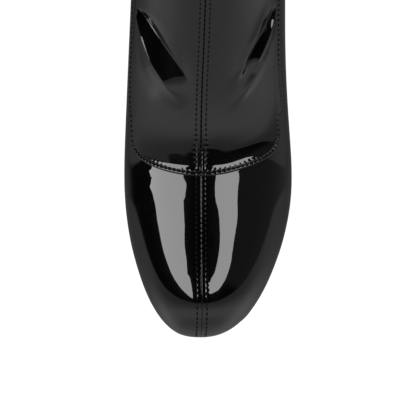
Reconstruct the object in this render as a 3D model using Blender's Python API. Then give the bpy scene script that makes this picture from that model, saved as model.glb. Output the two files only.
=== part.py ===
"""Platform ankle boot with a high block heel, for the left foot, a women's EU 38.

The frame: X runs across the foot with the inner side of the foot at -X, Y runs from toe to heel, Z is up.
The origin is on the floor, under the middle of the boot's bounding box.
Six pieces: upper, insole, platform, outsole, heel and heel top piece. All sizes are in metres.
"""

from collections import namedtuple

import bmesh
import bpy
import numpy as np

# Driving dimensions of the last
LENGTH = 0.232            # toe tip to the back of the heel seat, along the floor
BALL_WIDTH = 0.094        # across the upper at the ball of the foot
INSTEP_HEIGHT = 0.080     # from the ball's sole line up to the bend of the instep
HEEL_RISE = 0.070         # heel seat above the ball
TOE_SPRING = 0.0075       # toe tip above the ball
SHAFT_HEIGHT = 0.234      # collar above the ball

# Thicknesses
WALL = 0.002              # leather and lining of the upper
PLATFORM_HEIGHT = 0.028   # floor to the upper's bottom edge under the ball
SHANK_THICKNESS = 0.0055  # platform unit under the arch and the heel seat
OUTSOLE_THICKNESS = 0.003
INSOLE_THICKNESS = 0.003
TOP_PIECE_THICKNESS = 0.006
GAP = 0.0003              # clearance between neighbouring pieces

# The platform unit
TREAD_FRONT = 0.040       # the flat tread starts here, measured back from the toe tip
TREAD_BACK = 0.094        # and ends here
SHANK_START = 0.168       # from here on the unit is only as thick as the shank
SHANK_SLOPE = 0.82        # rise per run of the arch where it meets the shank
TOE_RAKE = 0.022          # how far the tread's toe lies behind the upper's toe
RAKE_LENGTH = 0.110       # the rake fades out over this length
RAKE_FADE = 1.5           # above 1 it fades fastest at the toe
TREAD_LIFT = 0.007        # height of the tread's toe above the floor
TREAD_WIDTH = 0.95        # tread against the upper's bottom edge

# The heel
BREAST = 0.181            # front face of the heel, measured back from the toe tip
HEEL_CENTRE = 0.206       # the heel tapers towards this line
HEEL_TAPER = 0.16         # how much smaller the heel is at the floor
HEEL_WAIST = 1.5          # above 1 the heel's sides curve in only lower down

# How finely the solids are cut
SOLE_STEPS = 26           # toe to the heel's front face
SEAT_STEPS = 12           # heel's front face to the heel point
SHAFT_STEPS = 11          # heel point to collar
LOW_STEPS = 6             # bottom edge to the widest line
TOP_STEPS = 9             # widest line to the front seam
HEEL_LEVELS = 7
FINE_STEPS = 400
SHARP_ANGLE = 35.0        # degrees between faces from which an edge is drawn sharp
WELD_DISTANCE = 1e-6
LEAST_LENGTH = 1e-9       # keeps a division safe where an outline's points coincide
TUCK_CHANGE = (0.60, 0.0)   # feather ratios between which a tucked-in edge becomes a round back

# Control sections of the foot, from the toe tip to the heel point. Each is a plane from the bottom edge to the
# front seam. bottom and front are fractions of LENGTH back from the toe, spring is in TOE_SPRING, rise in
# HEEL_RISE, height in INSTEP_HEIGHT, and seam, medial and lateral are in BALL_WIDTH: the front seam's place
# across, and how far the section reaches inwards and outwards from it. feather is the half width at the
# bottom edge against the widest, and widest says how far up the section that is.
FootSection = namedtuple("FootSection", "bottom spring rise front height seam medial lateral feather widest")
FOOT = [
    FootSection(0.013, 1.00, 0.000, 0.013, 0.094, -0.043, 0.000, 0.000, 0.90, 0.30),
    FootSection(0.013, 1.00, 0.000, -0.009, 0.188, -0.036, 0.093, 0.067, 0.90, 0.30),
    FootSection(0.030, 0.87, 0.000, -0.004, 0.338, -0.030, 0.178, 0.162, 0.90, 0.30),
    FootSection(0.073, 0.60, 0.000, 0.043, 0.450, -0.030, 0.258, 0.263, 0.91, 0.29),
    FootSection(0.134, 0.27, 0.000, 0.112, 0.519, -0.036, 0.318, 0.352, 0.92, 0.27),
    FootSection(0.207, 0.08, 0.000, 0.185, 0.585, -0.036, 0.371, 0.420, 0.92, 0.25),
    FootSection(0.276, 0.00, 0.000, 0.252, 0.656, -0.036, 0.412, 0.472, 0.92, 0.23),
    FootSection(0.341, 0.00, 0.000, 0.306, 0.725, -0.036, 0.437, 0.507, 0.91, 0.23),
    FootSection(0.397, 0.00, 0.004, 0.345, 0.7725, -0.037, 0.450, 0.528, 0.90, 0.24),
    FootSection(0.448, 0.00, 0.029, 0.3815, 0.836, -0.037, 0.456, 0.536, 0.89, 0.25),
    FootSection(0.509, 0.00, 0.107, 0.418, 0.9475, -0.037, 0.455, 0.533, 0.87, 0.28),
    FootSection(0.599, 0.00, 0.293, 0.457, 1.1275, -0.032, 0.450, 0.510, 0.84, 0.33),
    FootSection(0.707, 0.00, 0.579, 0.497, 1.356, -0.023, 0.444, 0.481, 0.79, 0.38),
    FootSection(0.810, 0.00, 0.821, 0.5315, 1.5775, -0.015, 0.437, 0.465, 0.72, 0.42),
    FootSection(0.905, 0.00, 0.950, 0.5595, 1.770, -0.010, 0.430, 0.459, 0.60, 0.46),
    FootSection(0.978, 0.00, 0.997, 0.580, 1.938, -0.006, 0.432, 0.453, 0.35, 0.48),
    FootSection(0.987, 0.00, 1.000, 0.595, 2.088, -0.004, 0.435, 0.449, 0.00, 0.50),
]

# Control sections of the shaft, from above the heel point to the collar. back is where the back seam is, climb
# is its height between the heel seat and the collar, and height is the front seam's in SHAFT_HEIGHT.
ShaftSection = namedtuple("ShaftSection", "back climb front height seam medial lateral")
SHAFT = [
    ShaftSection(1.002, 0.061, 0.604, 0.765, -0.002, 0.437, 0.444),
    ShaftSection(1.004, 0.171, 0.611, 0.816, -0.001, 0.438, 0.441),
    ShaftSection(0.983, 0.348, 0.615, 0.868, 0.000, 0.439, 0.440),
    ShaftSection(0.970, 0.561, 0.616, 0.919, 0.000, 0.440, 0.440),
    ShaftSection(0.966, 0.774, 0.616, 0.962, 0.000, 0.440, 0.440),
    ShaftSection(0.970, 1.000, 0.616, 1.000, 0.000, 0.440, 0.440),
]

# Both tables come down to these columns, in metres: the low point and the front point of each section as
# distance back from the toe and height, then the widths and the two ratios.
LOW_BACK, LOW_UP, FRONT_BACK, FRONT_UP, SEAM, MEDIAL, LATERAL, FEATHER, WIDEST = range(9)
RUN_THROUGH = [FRONT_BACK, FRONT_UP, SEAM, MEDIAL, LATERAL, WIDEST]


def foot_row(section):
    low_up = PLATFORM_HEIGHT + section.spring * TOE_SPRING + section.rise * HEEL_RISE
    front_up = PLATFORM_HEIGHT + section.height * INSTEP_HEIGHT
    widths = [part * BALL_WIDTH for part in (section.seam, section.medial, section.lateral)]
    return [section.bottom * LENGTH, low_up, section.front * LENGTH, front_up] + widths + [
        section.feather, section.widest]


def shaft_row(section):
    low_up = PLATFORM_HEIGHT + HEEL_RISE + section.climb * (SHAFT_HEIGHT - HEEL_RISE)
    front_up = PLATFORM_HEIGHT + section.height * SHAFT_HEIGHT
    widths = [part * BALL_WIDTH for part in (section.seam, section.medial, section.lateral)]
    return [section.back * LENGTH, low_up, section.front * LENGTH, front_up] + widths + [0.0, 0.5]


FOOT_ROWS = np.array([foot_row(section) for section in FOOT])
SHAFT_ROWS = np.array([foot_row(FOOT[-1])] + [shaft_row(section) for section in SHAFT])
ALL_ROWS = np.vstack([FOOT_ROWS, SHAFT_ROWS[1:]])


def spline(controls, at):
    """Clamped uniform cubic B-spline of the control rows, where at runs from 0 to 1."""
    spans = len(controls) - 3
    knots = np.concatenate([[0, 0, 0], np.arange(spans + 1), [spans, spans, spans]]).astype(float)
    along = np.clip(np.asarray(at, dtype=float), 0.0, 1.0) * spans
    span = np.minimum(np.floor(along).astype(int), spans - 1) + 3
    rows = [controls[span - 3 + j] for j in range(4)]
    for level in range(1, 4):
        for j in range(3, level - 1, -1):
            start = knots[span - 3 + j]
            end = knots[span + 1 + j - level]
            share = ((along - start) / (end - start))[:, None]
            rows[j] = (1 - share) * rows[j - 1] + share * rows[j]
    return rows[3]


def sections(stations):
    """Section rows at stations from 0 (toe) over 1 (heel point) to 2 (collar)."""
    stations = np.asarray(stations, dtype=float)
    foot = stations <= 1.0
    rows = np.zeros((len(stations), ALL_ROWS.shape[1]))
    rows[foot] = spline(FOOT_ROWS, stations[foot])
    rows[~foot] = spline(SHAFT_ROWS, stations[~foot] - 1.0)
    foot_share = (len(FOOT_ROWS) - 1) / (len(ALL_ROWS) - 1)
    along = np.where(foot, stations * foot_share, foot_share + (stations - 1.0) * (1 - foot_share))
    rows[:, RUN_THROUGH] = spline(ALL_ROWS, along)[:, RUN_THROUGH]
    return rows


def outer_surface(stations, angles):
    """Points of the upper's outside: (medial, lateral) arrays of x across, distance from the toe and height.

    An angle of -90 degrees is the bottom edge or the back seam, 0 the widest line and 90 the front seam.
    """
    rows = sections(stations)
    columns = [rows[:, [column]] for column in range(rows.shape[1])]
    turn = np.radians(np.asarray(angles, dtype=float))[None, :]
    feather = columns[FEATHER]
    widest = columns[WIDEST]
    tucked, rounded = TUCK_CHANGE
    power = 1.0 + np.clip((tucked - feather) / (tucked - rounded), 0.0, 1.0)
    cosine = np.clip(np.cos(turn), 0.0, 1.0)
    below = turn < 0
    reach = np.where(below, feather + (1 - feather) * cosine ** (2 / power), cosine)
    climb = np.where(below, widest * (1 + np.sin(turn)), widest + (1 - widest) * np.sin(turn))
    back = columns[LOW_BACK] + (columns[FRONT_BACK] - columns[LOW_BACK]) * climb
    up = columns[LOW_UP] + (columns[FRONT_UP] - columns[LOW_UP]) * climb
    medial = np.stack([columns[SEAM] - columns[MEDIAL] * reach, back, up], axis=-1)
    lateral = np.stack([columns[SEAM] + columns[LATERAL] * reach, back, up], axis=-1)
    return medial, lateral


def feather_line(stations):
    """The upper's bottom edge at stations from the toe to the heel point: (medial, lateral) points."""
    medial, lateral = outer_surface(stations, [-90.0])
    return medial[:, 0], lateral[:, 0]


def station_at(back):
    """The station whose bottom edge is at a distance back from the toe."""
    stations = np.linspace(0.0, 1.0, FINE_STEPS)
    medial, _ = feather_line(stations)
    return np.interp(back, medial[:, 1], stations)


def sole_stations(end=BREAST):
    """Stations from the toe tip to the heel's front face."""
    return np.linspace(0.0, station_at(end), SOLE_STEPS + 1)


def seat_stations():
    """Stations from the heel's front face to the heel point."""
    return np.linspace(station_at(BREAST), 1.0, SEAT_STEPS + 1)


def foot_stations():
    return np.concatenate([sole_stations(), seat_stations()[1:]])


def upper_grid():
    """Strips of points from the medial bottom edge over the front seam to the lateral one, toe to collar."""
    shaft = np.linspace(1.0, 2.0, SHAFT_STEPS + 1)[1:]
    low = np.linspace(-90.0, 0.0, LOW_STEPS + 1)
    top = np.linspace(0.0, 90.0, TOP_STEPS + 1)[1:]
    medial, lateral = outer_surface(np.concatenate([foot_stations(), shaft]), np.concatenate([low, top]))
    return np.concatenate([medial, lateral[:, -2::-1]], axis=1)


def tread_height(back):
    """Height of the platform's underside at a distance back from the toe."""
    flat = OUTSOLE_THICKNESS + GAP
    medial, _ = feather_line(np.linspace(0.0, 1.0, FINE_STEPS))
    shank = np.interp(back, medial[:, 1], medial[:, 2]) - SHANK_THICKNESS
    shank_height = np.interp(SHANK_START, medial[:, 1], medial[:, 2]) - SHANK_THICKNESS
    toe_share = np.clip((TREAD_FRONT - back) / (TREAD_FRONT - TOE_RAKE), 0.0, 1.0)
    toe = flat + TREAD_LIFT * toe_share ** 2
    run = SHANK_START - TREAD_BACK
    share = np.clip((back - TREAD_BACK) / run, 0.0, 1.0)
    arch = flat + (shank_height - flat) * share ** 2 * (3 - 2 * share)
    arch = arch + SHANK_SLOPE * run * share ** 2 * (share - 1)
    return np.where(back < TREAD_FRONT, toe, np.where(back < SHANK_START, arch, shank))


def raked(points):
    """The bottom edge's points moved in and back to where the tread's edge is, in plan."""
    middle = points.mean(axis=0)
    out = points.copy()
    fade = np.clip(1.0 - points[..., 1] / RAKE_LENGTH, 0.0, 1.0) ** RAKE_FADE
    out[..., 0] = middle[..., 0] + (points[..., 0] - middle[..., 0]) * TREAD_WIDTH
    out[..., 1] = points[..., 1] + TOE_RAKE * fade
    return out


def heel_scaled(points, depth):
    """The heel seat's outline drawn in towards the heel's middle, by depth from 0 (seat) to 1 (floor)."""
    middle = points.mean(axis=0)
    scale = 1.0 - HEEL_TAPER * depth ** HEEL_WAIST
    out = points.copy()
    out[..., 0] = middle[..., 0] + (points[..., 0] - middle[..., 0]) * scale
    out[..., 1] = HEEL_CENTRE + (points[..., 1] - HEEL_CENTRE) * scale
    return out


def with_height(points, height):
    out = points.copy()
    out[..., 2] = height
    return out


def inset(points, distance):
    """An outline's two sides moved inwards in plan."""
    out = points.copy()
    for side, inward in ((0, 1.0), (1, -1.0)):
        run = np.gradient(points[side], axis=0)
        run[0, 1] = 0.0
        run[-1, 1] = 0.0
        length = np.maximum(np.hypot(run[:, 0], run[:, 1]), LEAST_LENGTH)
        out[side, :, 0] += inward * distance * run[:, 1] / length
        out[side, :, 1] -= inward * distance * run[:, 0] / length
    return out


GRID = upper_grid()
MIDDLE = (GRID.reshape(-1, 3).min(axis=0) + GRID.reshape(-1, 3).max(axis=0)) / 2


def placed(points):
    """Points in the part's frame, centred across and along, with the floor at zero."""
    return points - np.array([MIDDLE[0], MIDDLE[1], 0.0])


def new_object(name, mesh_builder, material):
    mesh = bpy.data.meshes.new(name)
    mesh_builder.to_mesh(mesh)
    mesh_builder.free()
    mesh.materials.append(material)
    mesh.shade_smooth()
    mesh.set_sharp_from_angle(angle=np.radians(SHARP_ANGLE))
    piece = bpy.data.objects.new(name, mesh)
    bpy.context.collection.objects.link(piece)
    return piece


def finish(name, material):
    """A plain material from a (colour, roughness) pair."""
    colour, roughness = material
    made = bpy.data.materials.new(name)
    made.use_nodes = True
    shader = made.node_tree.nodes["Principled BSDF"]
    shader.inputs["Base Color"].default_value = (*colour, 1.0)
    shader.inputs["Roughness"].default_value = roughness
    shader.inputs["Metallic"].default_value = 0.0
    return made


def weld(builder):
    bmesh.ops.remove_doubles(builder, verts=builder.verts, dist=WELD_DISTANCE)
    bmesh.ops.recalc_face_normals(builder, faces=builder.faces)


def strip_faces(builder, first, second):
    """Quads between two rows of vertices."""
    for a, b, c, d in zip(first, first[1:], second[1:], second):
        builder.faces.new((a, b, c, d))


def stacked_solid(levels):
    """A closed solid through levels, each a pair of sides (medial, lateral) of the same number of points.

    The sides meet or are closed across at both ends, and the first and last levels are capped.
    """
    builder = bmesh.new()
    rings = []
    for sides in levels:
        sides = placed(np.asarray(sides))
        rings.append([[builder.verts.new(point) for point in side] for side in sides])
    for upper_ring, lower_ring in zip(rings, rings[1:]):
        for side in range(2):
            strip_faces(builder, upper_ring[side], lower_ring[side])
        for end in (0, -1):
            corners = (upper_ring[0][end], upper_ring[1][end], lower_ring[1][end], lower_ring[0][end])
            builder.faces.new(corners)
    for ring in (rings[0], rings[-1]):
        strip_faces(builder, ring[0], ring[1])
    weld(builder)
    return builder


def make_upper(material):
    """The hollow upper: its outside as one sheet, thickened inwards, open at the collar and underneath."""
    builder = bmesh.new()
    rows = [[builder.verts.new(point) for point in row] for row in placed(GRID)]
    for first, second in zip(rows, rows[1:]):
        strip_faces(builder, first, second)
    weld(builder)
    piece = new_object("upper", builder, material)
    wall = piece.modifiers.new("wall", "SOLIDIFY")
    wall.thickness = WALL
    wall.offset = -1.0
    wall.use_rim = True
    return piece


def make_insole(material):
    outline = inset(np.array(feather_line(foot_stations())), WALL + GAP)
    top = outline + np.array([0.0, 0.0, INSOLE_THICKNESS])
    return new_object("insole", stacked_solid([top, outline]), material)


def make_platform(material):
    top = np.array(feather_line(foot_stations()))
    top[..., 2] -= GAP
    bottom = raked(top)
    bottom = with_height(bottom, tread_height(bottom[..., 1]))
    middle = (top + bottom) / 2
    return new_object("platform", stacked_solid([top, middle, bottom]), material)


def make_outsole(material):
    top = raked(np.array(feather_line(sole_stations(BREAST - 2 * GAP))))
    height = tread_height(top[..., 1]) - GAP
    levels = [with_height(top, height), with_height(top, height - OUTSOLE_THICKNESS)]
    return new_object("outsole", stacked_solid(levels), material)


def make_heel(material):
    seat = raked(np.array(feather_line(seat_stations())))
    levels = []
    for depth in np.linspace(0.0, 1.0, HEEL_LEVELS):
        outline = heel_scaled(seat, depth)
        seat_height = tread_height(seat[..., 1]) - GAP
        levels.append(with_height(outline, seat_height + (TOP_PIECE_THICKNESS + GAP - seat_height) * depth))
    return new_object("heel", stacked_solid(levels), material)


def make_heel_top_piece(material):
    outline = heel_scaled(raked(np.array(feather_line(seat_stations()))), 1.0)
    levels = [with_height(outline, TOP_PIECE_THICKNESS), with_height(outline, 0.0)]
    return new_object("heel_top_piece", stacked_solid(levels), material)


# Colours and roughness of each piece
PATENT_LEATHER = ((0.012, 0.012, 0.013), 0.12)
LINING = ((0.030, 0.029, 0.028), 0.60)
COVERED_SOLE = ((0.014, 0.014, 0.015), 0.18)
SOLE_RUBBER = ((0.020, 0.020, 0.020), 0.65)


def main():
    for thing in list(bpy.data.objects):
        bpy.data.objects.remove(thing, do_unlink=True)
    make_upper(finish("patent_leather", PATENT_LEATHER))
    make_insole(finish("insole_lining", LINING))
    make_platform(finish("platform_cover", COVERED_SOLE))
    make_outsole(finish("outsole_rubber", SOLE_RUBBER))
    make_heel(finish("heel_cover", COVERED_SOLE))
    make_heel_top_piece(finish("top_piece_rubber", SOLE_RUBBER))


main()
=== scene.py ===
"""Looks of the platform ankle boot: leather panels, seams, creases, covered sole, camera and studio.

The upper's outside is the surface that the part's source cuts coarsely, so the pieces lie on the CAD solids.
X runs across the foot with the inner side at -X, Y from toe to heel, Z is up. All sizes are in metres.
"""

from collections import namedtuple

import bmesh
import bpy
import numpy as np
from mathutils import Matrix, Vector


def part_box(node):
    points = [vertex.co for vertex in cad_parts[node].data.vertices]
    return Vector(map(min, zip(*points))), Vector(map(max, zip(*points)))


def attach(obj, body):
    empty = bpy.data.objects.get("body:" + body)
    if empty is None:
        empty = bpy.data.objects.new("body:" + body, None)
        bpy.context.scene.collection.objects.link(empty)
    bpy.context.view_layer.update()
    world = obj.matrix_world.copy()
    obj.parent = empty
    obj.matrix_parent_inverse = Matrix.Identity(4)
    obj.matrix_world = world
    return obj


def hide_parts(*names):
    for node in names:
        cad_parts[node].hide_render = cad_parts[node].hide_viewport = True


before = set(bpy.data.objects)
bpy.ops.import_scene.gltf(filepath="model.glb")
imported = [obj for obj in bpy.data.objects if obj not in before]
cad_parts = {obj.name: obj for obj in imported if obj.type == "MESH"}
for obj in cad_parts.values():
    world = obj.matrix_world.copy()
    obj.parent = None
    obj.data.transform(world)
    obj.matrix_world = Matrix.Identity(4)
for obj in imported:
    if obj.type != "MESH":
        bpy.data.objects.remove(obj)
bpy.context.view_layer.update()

# Driving dimensions of the last, as in the part's source
LENGTH = 0.232
BALL_WIDTH = 0.094
INSTEP_HEIGHT = 0.080
HEEL_RISE = 0.070
TOE_SPRING = 0.0075
SHAFT_HEIGHT = 0.234
WALL = 0.002
PLATFORM_HEIGHT = 0.028
SHANK_THICKNESS = 0.0055
OUTSOLE_THICKNESS = 0.003
INSOLE_THICKNESS = 0.003
TOP_PIECE_THICKNESS = 0.006
GAP = 0.0003
TREAD_FRONT = 0.040
TREAD_BACK = 0.094
SHANK_START = 0.168
SHANK_SLOPE = 0.82
TOE_RAKE = 0.022
RAKE_LENGTH = 0.110
RAKE_FADE = 1.5
TREAD_LIFT = 0.007
TREAD_WIDTH = 0.95
BREAST = 0.181
HEEL_CENTRE = 0.206
HEEL_TAPER = 0.16
HEEL_WAIST = 1.5
TUCK_CHANGE = (0.60, 0.0)
FINE_STEPS = 400
FINE_ANGLES = 91

# Control sections of the foot and the shaft, in the units of the part's source
FootSection = namedtuple("FootSection", "bottom spring rise front height seam medial lateral feather widest")
FOOT = [
    FootSection(0.013, 1.00, 0.000, 0.013, 0.094, -0.043, 0.000, 0.000, 0.90, 0.30),
    FootSection(0.013, 1.00, 0.000, -0.009, 0.188, -0.036, 0.093, 0.067, 0.90, 0.30),
    FootSection(0.030, 0.87, 0.000, -0.004, 0.338, -0.030, 0.178, 0.162, 0.90, 0.30),
    FootSection(0.073, 0.60, 0.000, 0.043, 0.450, -0.030, 0.258, 0.263, 0.91, 0.29),
    FootSection(0.134, 0.27, 0.000, 0.112, 0.519, -0.036, 0.318, 0.352, 0.92, 0.27),
    FootSection(0.207, 0.08, 0.000, 0.185, 0.585, -0.036, 0.371, 0.420, 0.92, 0.25),
    FootSection(0.276, 0.00, 0.000, 0.252, 0.656, -0.036, 0.412, 0.472, 0.92, 0.23),
    FootSection(0.341, 0.00, 0.000, 0.306, 0.725, -0.036, 0.437, 0.507, 0.91, 0.23),
    FootSection(0.397, 0.00, 0.004, 0.345, 0.7725, -0.037, 0.450, 0.528, 0.90, 0.24),
    FootSection(0.448, 0.00, 0.029, 0.3815, 0.836, -0.037, 0.456, 0.536, 0.89, 0.25),
    FootSection(0.509, 0.00, 0.107, 0.418, 0.9475, -0.037, 0.455, 0.533, 0.87, 0.28),
    FootSection(0.599, 0.00, 0.293, 0.457, 1.1275, -0.032, 0.450, 0.510, 0.84, 0.33),
    FootSection(0.707, 0.00, 0.579, 0.497, 1.356, -0.023, 0.444, 0.481, 0.79, 0.38),
    FootSection(0.810, 0.00, 0.821, 0.5315, 1.5775, -0.015, 0.437, 0.465, 0.72, 0.42),
    FootSection(0.905, 0.00, 0.950, 0.5595, 1.770, -0.010, 0.430, 0.459, 0.60, 0.46),
    FootSection(0.978, 0.00, 0.997, 0.580, 1.938, -0.006, 0.432, 0.453, 0.35, 0.48),
    FootSection(0.987, 0.00, 1.000, 0.595, 2.088, -0.004, 0.435, 0.449, 0.00, 0.50),
]
ShaftSection = namedtuple("ShaftSection", "back climb front height seam medial lateral")
SHAFT = [
    ShaftSection(1.002, 0.061, 0.604, 0.765, -0.002, 0.437, 0.444),
    ShaftSection(1.004, 0.171, 0.611, 0.816, -0.001, 0.438, 0.441),
    ShaftSection(0.983, 0.348, 0.615, 0.868, 0.000, 0.439, 0.440),
    ShaftSection(0.970, 0.561, 0.616, 0.919, 0.000, 0.440, 0.440),
    ShaftSection(0.966, 0.774, 0.616, 0.962, 0.000, 0.440, 0.440),
    ShaftSection(0.970, 1.000, 0.616, 1.000, 0.000, 0.440, 0.440),
]
LOW_BACK, LOW_UP, FRONT_BACK, FRONT_UP, SEAM, MEDIAL, LATERAL, FEATHER, WIDEST = range(9)
RUN_THROUGH = [FRONT_BACK, FRONT_UP, SEAM, MEDIAL, LATERAL, WIDEST]
COLLAR = 2.0              # the collar's station
SIDES = (MEDIAL, LATERAL)
SIDE_NAMES = {MEDIAL: "medial", LATERAL: "lateral"}
OUTWARD = {MEDIAL: -1.0, LATERAL: 1.0}

# Seams of the front panel. The panel's lower edge is at station EDGE_START on the centre seam and falls back
# towards the sides by EDGE_BEND times the squared angle, then runs up the side.
EDGE_START = 0.424
EDGE_BEND = {MEDIAL: 4.7e-5, LATERAL: 5.8e-5}
SIDE_ANGLE = {MEDIAL: (25.5, 19.0), LATERAL: (33.0, 26.5)}   # at the panel's corner, and higher up
SIDE_CHANGE = (0.60, 0.12)
CORNER_ROUND = (0.05, 2.5)   # stations added at the panel's corner, and the degrees over which that fades
UNDERLAP_STATIONS = 0.03
UNDERLAP_ANGLE = 6.0
LOWER_EDGE_STEPS = 800
SIDE_EDGE_STEPS = 500
SEAM_STEPS = 2000

# Relief of the leather
PANEL_THICKNESS = 0.0011
EDGE_RADIUS = 0.0007
EDGE_SUNK = 0.00015       # the panel's edge starts this far under the leather that it laps
EDGE_ROW = 0.0019         # stitch row's distance from the panel's edge
SEAM_ROW = 0.00255        # stitch rows' distance from the centre seam's join
JOIN_DEPTH = 0.0007
JOIN_WAVE = 0.5           # share of the depth by which the join deepens and rises between stitches
JOIN_WIDTH = 0.00032
VAMP_JOIN_WIDTH = 0.00014
STRIP_RISE = 0.00002      # of the strips between the join and its stitch rows
STRIP_START = 0.0008      # distance from the join by which a strip has risen
STRIP_END = (SEAM_ROW - 0.0007, SEAM_ROW + 0.0006)
ROW_DEPTH = 0.00014
EDGE_ROW_DEPTH = 0.00030
ROW_WIDTH = 0.00034
PUCKER = 0.00012
SEAM_PUCKER = 0.00006
PUCKER_REACH = 0.0011
VAMP_SEAM_SHARE = 0.5     # the seam's relief on the vamp, where the leather lies tighter
VAMP_SEAM_START = (0.004, 0.03)   # stations at the toe between which that relief comes in
PITCH = 0.00275           # stitch length with its gap
BACK_JOIN_DEPTH = 0.0004
BACK_JOIN_WIDTH = 0.0006
BACK_JOIN_START = (1.0, 1.08)     # stations above the heel between which the back's join comes in
# The panel swells above its lower edge: height of the swelling at the centre and at the sides, the stations
# above the edge where it starts, is highest and ends, the degrees from the side seams over which it comes in,
# and the angles between which its height changes
SWELLING = {MEDIAL: (0.0011, 0.0001), LATERAL: (0.0008, 0.0003)}
SWELLING_PLACES = {MEDIAL: (0.032, 0.120, 0.36), LATERAL: (0.034, 0.120, 0.36)}
SWELLING_FADE = (2.0, 14.0)
SWELLING_SIDES = {MEDIAL: (40.0, 82.0), LATERAL: (50.0, 80.0)}
EDGE_LIFT = {MEDIAL: 0.0, LATERAL: 0.0021}   # how far the panel's edge stands off at the sides
LIFT_LENGTH = 0.10
# Faint unevenness of the panel: height, turns of the wave along X, Y and Z, and phase
WAVES = [
    (0.00010, (140.0, 60.0, 95.0), 0.4),
    (0.00008, (-60.0, 150.0, 120.0), 1.9),
    (0.00006, (230.0, -90.0, 170.0), 3.3),
]
CREASE_TO_EDGE = (0.002, 0.012)   # distances from the panel's edge and from the centre seam between which
CREASE_TO_SEAM = (0.001, 0.012)   # creases and unevenness come in

# Creases of the shaft, each along a line of (station, angle) points from its top end. A ridge stands up by
# its height. A fold slopes across its line, up to the left of someone who walks down it, as far as its width
# to each side and then back, and its lean raises all of it by that share of its height. Slopes and widths are
# evenly spaced along the line, and the fades at its ends are shares of it.
Crease = namedtuple("Crease", "side line height slopes lean widths fades")
CREASES = [
    Crease(MEDIAL, [(0.858, 30), (0.836, 38.5), (0.811, 46.5), (0.785, 53), (0.758, 59.5), (0.735, 66),
                    (0.712, 72), (0.690, 77), (0.666, 80), (0.640, 81)],
           0.0, (-1.30, -1.26, -1.18, -1.08, -0.98, -0.93, -0.92, -0.92, -0.92), 0.5,
           (0.0006, 0.0026, 0.0042, 0.0048, 0.0044), (0.08, 0.36)),
    Crease(LATERAL, [(0.869, 31.5), (0.839, 38.3), (0.813, 43), (0.789, 48), (0.768, 53), (0.749, 57),
                     (0.727, 60.5)],
           0.0, (0.98, 1.10, 1.18, 1.20, 1.20), 0.0, (0.0009, 0.0014, 0.0020, 0.0022), (0.12, 0.26)),
    Crease(LATERAL, [(0.875, 42), (0.838, 49), (0.800, 55), (0.759, 62), (0.719, 68), (0.685, 74)],
           0.0032, (0.0,), 0.0, (0.0024, 0.0032), (0.5, 0.4)),
    Crease(LATERAL, [(0.875, 26), (0.843, 32), (0.811, 38), (0.780, 43), (0.743, 51), (0.691, 63),
                     (0.630, 76)],
           0.0023, (0.0,), 0.0, (0.0020, 0.0030), (0.2, 0.4)),
]
FOLD_CORNER = 0.04        # sharpness of a fold's two edges
FOLD_RETURN = 1.8         # widths over which it comes back
FOLD_REACH = (2.5, 5.0)   # widths between which it ends
CREASE_STEPS = 160


# The upper's outside surface
def foot_row(section):
    low_up = PLATFORM_HEIGHT + section.spring * TOE_SPRING + section.rise * HEEL_RISE
    front_up = PLATFORM_HEIGHT + section.height * INSTEP_HEIGHT
    widths = [part * BALL_WIDTH for part in (section.seam, section.medial, section.lateral)]
    return [section.bottom * LENGTH, low_up, section.front * LENGTH, front_up] + widths + [
        section.feather, section.widest]


def shaft_row(section):
    low_up = PLATFORM_HEIGHT + HEEL_RISE + section.climb * (SHAFT_HEIGHT - HEEL_RISE)
    front_up = PLATFORM_HEIGHT + section.height * SHAFT_HEIGHT
    widths = [part * BALL_WIDTH for part in (section.seam, section.medial, section.lateral)]
    return [section.back * LENGTH, low_up, section.front * LENGTH, front_up] + widths + [0.0, 0.5]


FOOT_ROWS = np.array([foot_row(section) for section in FOOT])
SHAFT_ROWS = np.array([foot_row(FOOT[-1])] + [shaft_row(section) for section in SHAFT])
ALL_ROWS = np.vstack([FOOT_ROWS, SHAFT_ROWS[1:]])


def spline(controls, at):
    """Clamped uniform cubic B-spline of the control rows, where at runs from 0 to 1."""
    spans = len(controls) - 3
    knots = np.concatenate([[0, 0, 0], np.arange(spans + 1), [spans, spans, spans]]).astype(float)
    along = np.clip(np.asarray(at, dtype=float), 0.0, 1.0) * spans
    span = np.minimum(np.floor(along).astype(int), spans - 1) + 3
    rows = [controls[span - 3 + j] for j in range(4)]
    for level in range(1, 4):
        for j in range(3, level - 1, -1):
            start = knots[span - 3 + j]
            end = knots[span + 1 + j - level]
            share = ((along - start) / (end - start))[:, None]
            rows[j] = (1 - share) * rows[j - 1] + share * rows[j]
    return rows[3]


def sections(stations):
    """Section rows at stations from 0 (toe) over 1 (heel point) to 2 (collar)."""
    foot = stations <= 1.0
    rows = np.zeros((len(stations), ALL_ROWS.shape[1]))
    rows[foot] = spline(FOOT_ROWS, stations[foot])
    rows[~foot] = spline(SHAFT_ROWS, stations[~foot] - 1.0)
    foot_share = (len(FOOT_ROWS) - 1) / (len(ALL_ROWS) - 1)
    along = np.where(foot, stations * foot_share, foot_share + (stations - 1.0) * (1 - foot_share))
    rows[:, RUN_THROUGH] = spline(ALL_ROWS, along)[:, RUN_THROUGH]
    return rows


def columns_at(stations):
    """The section columns at an array of stations of any shape."""
    stations = np.asarray(stations, dtype=float)
    rows = sections(stations.ravel())
    return [rows[:, column].reshape(stations.shape) for column in range(rows.shape[1])]


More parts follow.
